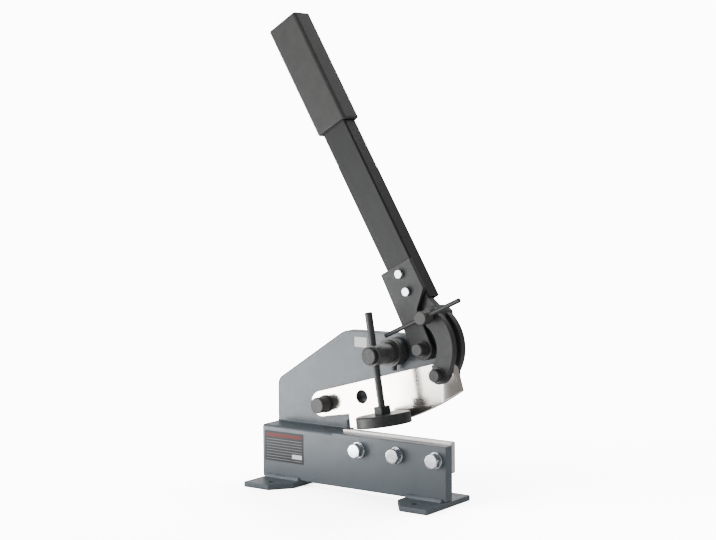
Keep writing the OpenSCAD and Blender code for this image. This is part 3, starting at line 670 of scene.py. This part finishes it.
class ShearFinish(bpy.types.PropertyGroup):
    """Colours of the shear's finishes."""
    frame: colour("Frame paint", "#5c656b")
    frame_shade: colour("Frame paint, darker places", "#576065")
    # The weld wears the frame's paint; this lighter colour is a painted highlight along the bead
    weld: colour("Weld paint", "#7c858b")
    blade: colour("Upper blade", "#efe9e3")
    blade_shade: colour("Upper blade, darker places", "#dfd8d1")
    lower_blade: colour("Lower blade", "#cfd1d1")
    zinc: colour("Zinc", "#e6e9ec")
    zinc_shade: colour("Zinc, darker places", "#cdd1d6")
    oxide: colour("Black oxide", "#3e3f40")
    oxide_shade: colour("Black oxide, darker places", "#2d2e2f")
    grey_oxide: colour("Worn oxide", "#464747")
    turned_oxide: colour("Turned oxide faces", "#4c4c4a")
    enamel: colour("Plate enamel", "#3a3b3b")
    enamel_shade: colour("Plate enamel, darker places", "#343535")
    tube: colour("Tube enamel", "#191a1b")
    tube_shade: colour("Tube enamel, darker places", "#151617")
    sleeve: colour("Sleeve enamel", "#5a5b5b")
    rubber: colour("Grip rubber", "#3b3b3a")
    rubber_shade: colour("Grip rubber, darker places", "#343433")
    bronze: colour("Bush bronze", "#a98a4c")
    bronze_shade: colour("Bush bronze, darker places", "#87692f")
    film: colour("Label film", "#37393a")
    film_red: colour("Label heading", "#722f2d")
    film_pale: colour("Sticker and pale box", "#fafafa")
    film_rule: colour("Label rules", "#8d9194")
    floor: colour("Floor", "#f4f4f4")


class ShearEdges(bpy.types.PropertyGroup):
    """How far edges are rounded, and the sizes of threads and weld ripples."""
    plate_edge: length("Plate edge", "Rounding of the frame's and feet's edges", 1.2, 0.2, 3.0)
    blade_edge: length("Blade edge", "Rounding of the blades' edges", 0.35, 0.1, 1.0)
    lever_edge: length("Lever edge", "Rounding of the lever's and links' edges", 0.9, 0.2, 2.0)
    turned_edge: length("Turned edge", "Rounding of turned pieces' edges", 0.5, 0.1, 1.5)
    small_edge: length("Small edge", "Rounding of washers, bushes and nuts", 0.3, 0.1, 0.8)
    grip_edge: length("Grip edge", "Rounding of the rubber grip's edges", 2.5, 0.5, 4.0)
    lock_pitch: length("Lock screw pitch", "Pitch of the lock screw's thread", 2.0, 1.0, 3.0)
    bolt_pitch: length("Bolt pitch", "Pitch of the bolts' threads", 1.75, 1.0, 3.0)
    thread_play: length("Thread play", "Clearance where a thread is set into a plain stretch", 0.1, 0.02, 0.5)
    ripple: length("Weld ripple", "Distance between two weld ripples", 2.6, 1.5, 5.0)


class ShearLabel(bpy.types.PropertyGroup):
    """Sizes of the bare label on the front cheek and the sticker on the rear cheek."""
    label_left: length("Label left", "Left edge of the label from the front cheek's left end", 4.0, 0.0, 20.0)
    label_low: length("Label bottom", "Lower edge of the label above the feet", 27.0, 5.0, 40.0)
    label_w: length("Label width", "Width of the label", 81.0, 40.0, 90.0)
    label_h: length("Label height", "Height of the label", 50.0, 30.0, 60.0)
    label_inset: length("Label margin", "Bare margin round the label's heading and rules", 3.5, 1.0, 8.0)
    heading_w: length("Heading width", "Width of the red heading", 74.0, 20.0, 80.0)
    heading_h: length("Heading height", "Height of the red heading", 6.0, 2.0, 15.0)
    rule_h: length("Rule height", "Height of the label's thin rules", 0.8, 0.2, 2.0)
    box_w: length("Box width", "Width of the pale box at the label's lower right", 20.0, 5.0, 30.0)
    box_h: length("Box height", "Height of that pale box", 7.0, 3.0, 15.0)
    box_lift: length("Box lift", "Height of that pale box above the lowest rule", 4.0, 0.0, 10.0)
    film_t: length("Film thickness", "Thickness of the label and the sticker", 0.25, 0.1, 0.6)
    sticker_w: length("Sticker width", "Width of the small sticker", 24.0, 10.0, 30.0)
    sticker_h: length("Sticker height", "Height of the small sticker", 16.0, 8.0, 24.0)
    sticker_left: length("Sticker left", "Left edge of the sticker from the rear cheek's left end", 159.0,
                         60.0, 200.0)
    sticker_low: length("Sticker bottom", "Lower edge of the sticker above the feet", 222.0, 150.0, 230.0)


class ShearStage(bpy.types.PropertyGroup):
    """Camera, floor and surround."""
    camera_place: bpy.props.FloatVectorProperty(
        name="Camera place", description="Where the camera stands", default=(1.4633, -2.0040, 0.5626),
        unit="LENGTH")
    camera_heading: bpy.props.FloatProperty(
        name="Camera heading", description="Turn of the camera to the left of +Y", default=math.radians(36.0),
        unit="ROTATION")
    camera_pitch: bpy.props.FloatProperty(
        name="Camera pitch", description="How far the camera looks down", default=math.radians(4.73),
        unit="ROTATION")
    camera_roll: bpy.props.FloatProperty(
        name="Camera roll", description="Turn of the camera round its own line of sight",
        default=math.radians(-0.45), unit="ROTATION")
    camera_lens: bpy.props.FloatProperty(
        name="Focal length", description=f"Focal length for a {SENSOR_WIDTH} mm wide frame, in millimetres",
        default=79.2)
    floor_radius: bpy.props.FloatProperty(
        name="Floor radius", description="Radius of the floor", default=30.0, unit="LENGTH")
    surround: bpy.props.FloatProperty(
        name="Surround", description="Brightness of the surround as a light", default=0.28)
    backdrop: bpy.props.FloatProperty(
        name="Backdrop", description="Brightness of the surround as the camera sees it", default=12.0)


SETTINGS = {
    "shear_finish": ShearFinish, "shear_edges": ShearEdges, "shear_label": ShearLabel,
    "shear_stage": ShearStage,
}


class Maker(bpy.types.Operator):
    """Base of the operators that make a piece or a group of like pieces."""
    bl_options = {"REGISTER", "UNDO"}

    def execute(self, context):
        self.make(context.scene.shear_edges, context)
        return {"FINISHED"}

    def dress_small(self, edges, finish, *nodes):
        """Dresses small solids alike, their edges rounded in fewer steps."""
        for node in nodes:
            dressed(node, finish, edges.small_edge, SMALL_EDGE_STEPS)


# The frame

class SHEAR_OT_frame(Maker):
    """Makes the joggled plate and its two feet"""
    bl_idname = "shear.frame"
    bl_label = "Frame"

    def make(self, edges, context):
        for node in ("frame_plate", "left_foot", "right_foot"):
            dressed(node, "frame_powder_coat", edges.plate_edge)


class SHEAR_OT_welds(Maker):
    """Makes the four weld beads between the feet and the plate"""
    bl_idname = "shear.welds"
    bl_label = "Welds"

    def make(self, edges, context):
        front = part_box("frame_plate")[0].y
        tree = tree_of("Weld bead", bead_tree)
        for seed, (low, high) in enumerate(islands("foot_welds")):
            leg = high.z - low.z
            margin = leg * BEAD_MARGIN
            bead = grown(f"weld_bead_{seed}", tree, {
                "Length": high.x - low.x - 2 * margin, "Pitch": edges.ripple * MM, "Leg": leg,
                "Seed": seed + BEAD_SEED}, "weld_powder_coat")
            side = high.y if low.y < front - leg / 2 else low.y
            bead.data.transform(Matrix.Translation((low.x + margin, side, low.z)))
            finish_piece(bead, "weld_powder_coat", "frame", "foot_welds")


# The blades

class SHEAR_OT_lower_blade(Maker):
    """Makes the lower blade"""
    bl_idname = "shear.lower_blade"
    bl_label = "Lower blade"

    def make(self, edges, context):
        dressed("lower_blade", "ground_tool_steel", edges.blade_edge)


class SHEAR_OT_upper_blade(Maker):
    """Makes the upper blade and its bush"""
    bl_idname = "shear.upper_blade"
    bl_label = "Upper blade"

    def make(self, edges, context):
        blade = dressed("upper_blade", "polished_tool_steel", edges.blade_edge)
        hole = next(mount for mount in frame["record"]["mounts"] if mount["name"] == "blade_bar_hole")
        self.paint_bore_shade(blade, Vector(hole["pos_m"]), hole["dims"]["r_mm"] * MM)
        self.dress_small(edges, "sintered_bronze", "blade_bush")

    def paint_bore_shade(self, piece, centre, radius):
        """Gives the wall of a bore that runs front to back a near-black oxide: painted shade for the shadow
        in the bore, on a wall left unpolished.
        """
        piece.data.materials.append(finish_of("black_oxide_steel"))
        for face in piece.data.polygons:
            reach = math.hypot(face.center.x - centre.x, face.center.z - centre.z)
            if reach < radius * BORE_REACH and abs(face.normal.y) < BORE_TURN:
                # Painted shade: the bore's wall takes the dark oxide in place of the shadow inside it
                face.material_index = 1


class SHEAR_OT_blade_bolts(Maker):
    """Makes the row of bolts that hold the lower blade, with their spring and flat washers"""
    bl_idname = "shear.blade_bolts"
    bl_label = "Blade bolts"

    def make(self, edges, context):
        bolts = islands("lower_blade_bolts")
        low, high = bolts[0]
        centre = (low + high) / 2
        step = bolts[1][0] - bolts[0][0]
        seat = Vector((centre.x, islands("spring_washers")[0][0].y, centre.z))
        flats = (high.x - low.x) / MM
        hexed = hexagon(flats, (seat.y - low.y) / MM)
        top = max(hexed.faces, key=lambda face: face.calc_center_median().z)
        dish = bmesh.ops.inset_region(hexed, faces=[top], thickness=flats * HEAD_RING * MM, depth=0)
        for face in dish["faces"]:
            face.smooth = True
        single = new_piece("one_bolt", hexed)
        single.data.transform(axis_frame(Vector(), -DEPTH, CORNER_UP))
        soften(single, edges.small_edge, SMALL_EDGE_STEPS)
        row = grown("lower_blade_bolt_heads", tree_of("Row", row_tree), {
            "Piece": single, "Count": len(bolts), "Step": step, "Turn": math.radians(BOLT_TURN),
            "Turn Axis": DEPTH}, "bright_zinc")
        bpy.data.objects.remove(single)
        row.data.transform(Matrix.Translation(seat))
        row.data.set_sharp_from_angle(angle=math.radians(CREASE_ANGLE))
        finish_piece(row, "bright_zinc", "frame", "lower_blade_bolts")
        dressed("lower_blade_bolts", "bright_zinc", edges.small_edge, SMALL_EDGE_STEPS,
                "lower_blade_bolt_shanks", [(seat, -DEPTH)])
        self.dress_small(edges, "bright_zinc", "spring_washers", "flat_washers")


# The pivots

class SHEAR_OT_pivots(Maker):
    """Makes the blade's and the lever's pivot bolts with their washers, nuts, bush and spacer"""
    bl_idname = "shear.pivots"
    bl_label = "Pivots"

    def make(self, edges, context):
        for pivot in ("blade_pivot", "lever_pivot"):
            axis, head_back, radius = turned(pivot + "_bolt")
            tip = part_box(pivot + "_bolt")[1].y
            nut_low, nut_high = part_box(pivot + "_nut")
            back = Vector((axis.x, (nut_low.y + nut_high.y) / 2, axis.z))
            dressed(pivot + "_bolt", "turned_oxide_steel", edges.turned_edge, cuts=[(back, DEPTH)])
            threaded(pivot + "_thread", back, DEPTH, (tip - back.y) / MM, radius / MM, edges.bolt_pitch,
                     "black_oxide_steel", "frame")
            flats = (nut_high.x - nut_low.x) / MM
            bore = 2 * radius / MM + edges.thread_play
            hexed = hexagon(flats, (nut_high.y - nut_low.y) / MM, bore, True)
            hexed.transform(axis_frame(Vector((axis.x, nut_low.y, axis.z)), DEPTH, CORNER_UP))
            nut = new_piece(pivot + "_nut_finished", hexed)
            soften(nut, edges.small_edge, SMALL_EDGE_STEPS)
            finish_piece(nut, "black_oxide_steel", "frame", pivot + "_nut")
        self.dress_small(edges, "black_oxide_steel", "blade_pivot_washer")
        self.dress_small(edges, "grey_oxide_steel", "lever_pivot_washers", "pivot_spacer")
        self.dress_small(edges, "sintered_bronze", "lever_bush")


# The lever

class SHEAR_OT_lever(Maker):
    """Makes the lever's tube and its two plates"""
    bl_idname = "shear.lever"
    bl_label = "Lever"

    def make(self, edges, context):
        self.dress_small(edges, "tube_enamel", "lever_tube")
        dressed("bracket_plate", "satin_black_enamel", edges.lever_edge)
        dressed("core_plate", "satin_black_enamel", edges.lever_edge)


class SHEAR_OT_grip(Maker):
    """Makes the rubber grip"""
    bl_idname = "shear.grip"
    bl_label = "Grip"

    def make(self, edges, context):
        dressed("rubber_grip", "moulded_rubber", edges.grip_edge, GRIP_EDGE_STEPS)


class SHEAR_OT_bracket_bolts(Maker):
    """Makes the two small bolts that hold the bracket plate, and their nuts"""
    bl_idname = "shear.bracket_bolts"
    bl_label = "Bracket bolts"

    def make(self, edges, context):
        self.dress_small(edges, "bright_zinc", "bracket_bolts", "bracket_nuts")


# The links

class SHEAR_OT_links(Maker):
    """Makes the two curved links, their pin, washers and nut, and the lock screw's nut"""
    bl_idname = "shear.links"
    bl_label = "Links"

    def make(self, edges, context):
        dressed("front_link", "satin_black_enamel", edges.lever_edge)
        dressed("rear_link", "satin_black_enamel", edges.lever_edge)
        dressed("link_pin", "black_oxide_steel", edges.turned_edge)
        self.dress_small(edges, "grey_oxide_steel", "link_pin_washers")
        self.dress_small(edges, "black_oxide_steel", "link_pin_nut", "lock_nut")


class SHEAR_OT_lock_screw(Maker):
    """Makes the lock screw with its thread, and the tommy bar through its head"""
    bl_idname = "shear.lock_screw"
    bl_label = "Lock screw"

    def make(self, edges, context):
        axis, head_back, radius = turned("lock_screw")
        overlap = edges.lock_pitch * MM
        neck = Vector((axis.x, head_back + edges.thread_play * MM, axis.z))
        seat = Vector((axis.x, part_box("front_link")[0].y - edges.thread_play * MM, axis.z))
        dressed("lock_screw", "turned_oxide_steel", edges.turned_edge, cuts=[(neck, DEPTH)])
        dressed("lock_screw", "grey_oxide_steel", edges.small_edge, name="lock_screw_shank",
                cuts=[(seat, -DEPTH)])
        threaded("lock_screw_thread", neck - DEPTH * overlap, DEPTH, (seat.y - neck.y + 2 * overlap) / MM,
                 radius / MM, edges.lock_pitch, "grey_oxide_steel", "lock_screw")
        dressed("tommy_bar", "grey_oxide_steel", edges.turned_edge)


# The hold-down

class SHEAR_OT_hold_down(Maker):
    """Makes the hold-down: sleeve, set screw, bush, arm, knob, rod, nut and pad"""
    bl_idname = "shear.hold_down"
    bl_label = "Hold-down"

    def make(self, edges, context):
        self.dress_small(edges, "sleeve_enamel", "hold_down_sleeve", "sleeve_set_screw")
        self.dress_small(edges, "grey_oxide_steel", "arm_bush")
        dressed("hold_down_arm", "sleeve_enamel", edges.turned_edge)
        dressed("rod_clamp_knob", "black_oxide_steel", edges.turned_edge)
        self.dress_small(edges, "grey_oxide_steel", "hold_down_rod")
        self.dress_small(edges, "black_oxide_steel", "rod_nut")
        dressed("pressure_pad", "black_oxide_steel", edges.turned_edge)


# The label and the sticker

def film_sheet(name, left, low, width, height, face_y, thick, round_mm, finish):
    """A thin sheet with round corners on the frame's face at depth face_y, in metres; sizes are in mm."""
    work = bmesh.new()
    right, top = width - round_mm, height - round_mm
    corners = ((right, top, 0), (round_mm, top, 90), (round_mm, round_mm, 180), (right, round_mm, 270))
    outline = []
    for corner_x, corner_z, start in corners:
        for i in range(CORNER_STEPS + 1):
            angle = math.radians(start + 90 * i / CORNER_STEPS)
            outline.append((corner_x + round_mm * math.cos(angle), corner_z + round_mm * math.sin(angle)))
    front = [work.verts.new(((left + x) * MM, face_y - thick * MM, (low + z) * MM)) for x, z in outline]
    back = [work.verts.new(((left + x) * MM, face_y, (low + z) * MM)) for x, z in outline]
    work.faces.new(front)
    work.faces.new(list(reversed(back)))
    for i in range(len(outline)):
        j = (i + 1) % len(outline)
        work.faces.new((front[i], back[i], back[j], front[j]))
    bmesh.ops.recalc_face_normals(work, faces=work.faces)
    piece = new_piece(name, work)
    piece.data.set_sharp_from_angle(angle=math.radians(CREASE_ANGLE))
    finish_piece(piece, finish, "frame")


class SHEAR_OT_label(Maker):
    """Makes the bare ruled label on the front cheek and the bare sticker on the rear cheek"""
    bl_idname = "shear.label"
    bl_label = "Label"

    def make(self, edges, context):
        sizes = context.scene.shear_label
        low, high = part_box("frame_plate")
        left = low.x / MM + sizes.label_left
        base = low.z / MM + sizes.label_low
        thick = sizes.film_t
        ink = thick / 3
        film_sheet("label_film", left, base, sizes.label_w, sizes.label_h, low.y, thick, LABEL_CORNER,
                   "dark_film")
        face = low.y - thick * MM
        inset = sizes.label_inset
        top = base + sizes.label_h - inset - sizes.heading_h
        film_sheet("label_heading", left + inset, top, sizes.heading_w, sizes.heading_h, face, ink,
                   PRINT_CORNER, "red_film")
        gap = (top - base - inset) / RULES
        for i in range(RULES):
            film_sheet(f"label_rule_{i}", left + inset, base + inset + i * gap, sizes.label_w - 2 * inset,
                       sizes.rule_h, face, ink, sizes.rule_h / 3, "rule_film")
        film_sheet("label_box", left + sizes.label_w - inset - sizes.box_w, base + inset + sizes.box_lift,
                   sizes.box_w, sizes.box_h, face, thick, PRINT_CORNER, "pale_film")
        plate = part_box("lower_blade")[0].y - low.y
        film_sheet("cheek_sticker", low.x / MM + sizes.sticker_left, low.z / MM + sizes.sticker_low,
                   sizes.sticker_w, sizes.sticker_h, high.y - plate, thick, STICKER_CORNER, "pale_film")


# The stage

class SHEAR_OT_stage(Maker):
    """Makes the floor, the surround, the lights and the camera"""
    bl_idname = "shear.stage"
    bl_label = "Stage"

    def make(self, edges, context):
        stage = context.scene.shear_stage
        work = bmesh.new()
        bmesh.ops.create_circle(work, cap_ends=True, segments=FLOOR_SIDES, radius=stage.floor_radius)
        floor = new_piece("floor", work)
        floor.data.materials.append(finish_of("studio_paper"))
        floor.is_shadow_catcher = True
        self.sky(context, stage)
        for light in LIGHTS:
            self.area_light(*light)
        camera = bpy.data.objects.new("camera", bpy.data.cameras.new("camera"))
        context.scene.collection.objects.link(camera)
        camera.data.lens = stage.camera_lens
        camera.data.sensor_width = SENSOR_WIDTH
        camera.data.clip_end = SIGHT
        camera.location = stage.camera_place
        heading = Matrix.Rotation(stage.camera_heading, 4, "Z")
        pitch = Matrix.Rotation(math.pi / 2 - stage.camera_pitch, 4, "X")
        roll = Matrix.Rotation(stage.camera_roll, 4, "Z")
        camera.rotation_euler = (heading @ pitch @ roll).to_euler()
        context.scene.camera = camera

    def area_light(self, kind, name, place, width, height, power):
        """A rectangular light: a softbox that faces the shear, or a reflector that only what shines shows."""
        light = bpy.data.lights.new(name, "AREA")
        light.shape = "RECTANGLE"
        light.size = width
        light.size_y = height
        light.energy = power
        lamp = bpy.data.objects.new(name, light)
        offset = Vector(place)
        if kind == "reflector":
            lamp.location = offset
            lamp.rotation_euler = (math.pi, 0, REFLECTOR_TURN)
            lamp.visible_camera = False
            lamp.visible_diffuse = False
        else:
            lamp.location = (CAD_BOX[0] + CAD_BOX[1]) / 2 + offset
            lamp.rotation_euler = (-offset).to_track_quat("-Z", "Y").to_euler()
        bpy.context.scene.collection.objects.link(lamp)

    def sky(self, context, stage):
        """An even white surround, brighter as a backdrop than as a light."""
        world = bpy.data.worlds.new("surround")
        world.use_nodes = True
        tree = world.node_tree
        back = tree.nodes["Background"]
        back.inputs["Color"].default_value = (1.0, 1.0, 1.0, 1.0)
        seen = put(tree, "ShaderNodeLightPath").outputs["Is Camera Ray"]
        level = put(tree, "ShaderNodeMapRange", {
            "Value": seen, "To Min": stage.surround, "To Max": stage.backdrop})
        tree.links.new(level.outputs["Result"], back.inputs["Strength"])
        context.scene.world = world


MAKERS = [
    SHEAR_OT_stage, SHEAR_OT_frame, SHEAR_OT_welds, SHEAR_OT_lower_blade, SHEAR_OT_upper_blade,
    SHEAR_OT_blade_bolts, SHEAR_OT_pivots, SHEAR_OT_lever, SHEAR_OT_grip, SHEAR_OT_bracket_bolts,
    SHEAR_OT_links, SHEAR_OT_lock_screw, SHEAR_OT_hold_down, SHEAR_OT_label,
]


class SHEAR_PT_panel(bpy.types.Panel):
    """Lists the shear's operators and settings"""
    bl_idname = "SHEAR_PT_panel"
    bl_label = "Bench lever shear"
    bl_space_type = "VIEW_3D"
    bl_region_type = "UI"
    bl_category = "Shear"

    def draw(self, context):
        for maker in MAKERS:
            self.layout.operator(maker.bl_idname)
        for name in SETTINGS:
            box = self.layout.box()
            group = getattr(context.scene, name)
            for key in group.__annotations__:
                box.prop(group, key)


def register():
    for group in SETTINGS.values():
        bpy.utils.register_class(group)
    for name, group in SETTINGS.items():
        setattr(bpy.types.Scene, name, bpy.props.PointerProperty(type=group))
    for maker in MAKERS + [SHEAR_PT_panel]:
        bpy.utils.register_class(maker)


def unregister():
    for maker in reversed(MAKERS + [SHEAR_PT_panel]):
        bpy.utils.unregister_class(maker)
    for name, group in SETTINGS.items():
        delattr(bpy.types.Scene, name)
        bpy.utils.unregister_class(group)


def main():
    """Registers the add-on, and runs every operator."""
    register()
    for maker in MAKERS:
        getattr(bpy.ops.shear, maker.bl_idname.split(".")[1])()


if __name__ == "__main__":
    main()
